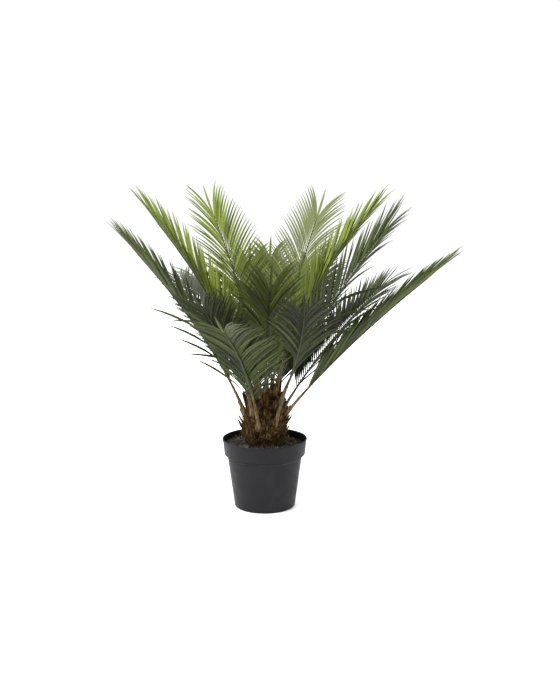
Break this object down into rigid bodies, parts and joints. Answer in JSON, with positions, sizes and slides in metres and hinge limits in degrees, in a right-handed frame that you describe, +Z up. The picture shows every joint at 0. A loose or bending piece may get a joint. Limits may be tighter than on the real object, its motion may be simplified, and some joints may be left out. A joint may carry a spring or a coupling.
{
  "type": "artificial sago palm",
  "caption": "Artificial sago palm in a plain plastic nursery pot: a short fibre-covered trunk under a crown of arching, feather-shaped fronds.",
  "frame": {"origin": "centre of the pot's flat underside", "axes": "+Z up along the pot and trunk; -Y is the side seen from the front; +X to the right seen from there"},
  "size_m": [0.653, 0.7447, 0.6244],
  "materials": {
    "pot": "matte",
    "fill": "matte",
    "trunk": "matte",
    "frond_deep": "satin",
    "frond_bright": "satin"
  },
  "bodies": {
    "root": {"pot": "pot", "fill": "fill", "trunk": "trunk", "frond_01": "frond_deep", "frond_02": "frond_deep", "frond_03": "frond_deep", "frond_04": "frond_deep", "frond_05": "frond_deep", "frond_06": "frond_deep", "frond_07": "frond_deep", "frond_08": "frond_bright", "frond_09": "frond_bright", "frond_10": "frond_bright", "frond_11": "frond_bright", "frond_12": "frond_deep", "frond_13": "frond_deep", "frond_14": "frond_deep", "frond_15": "frond_deep", "frond_16": "frond_deep", "frond_17": "frond_deep", "frond_18": "frond_deep", "frond_19": "frond_deep", "frond_20": "frond_deep"}
  },
  "joints": []
}
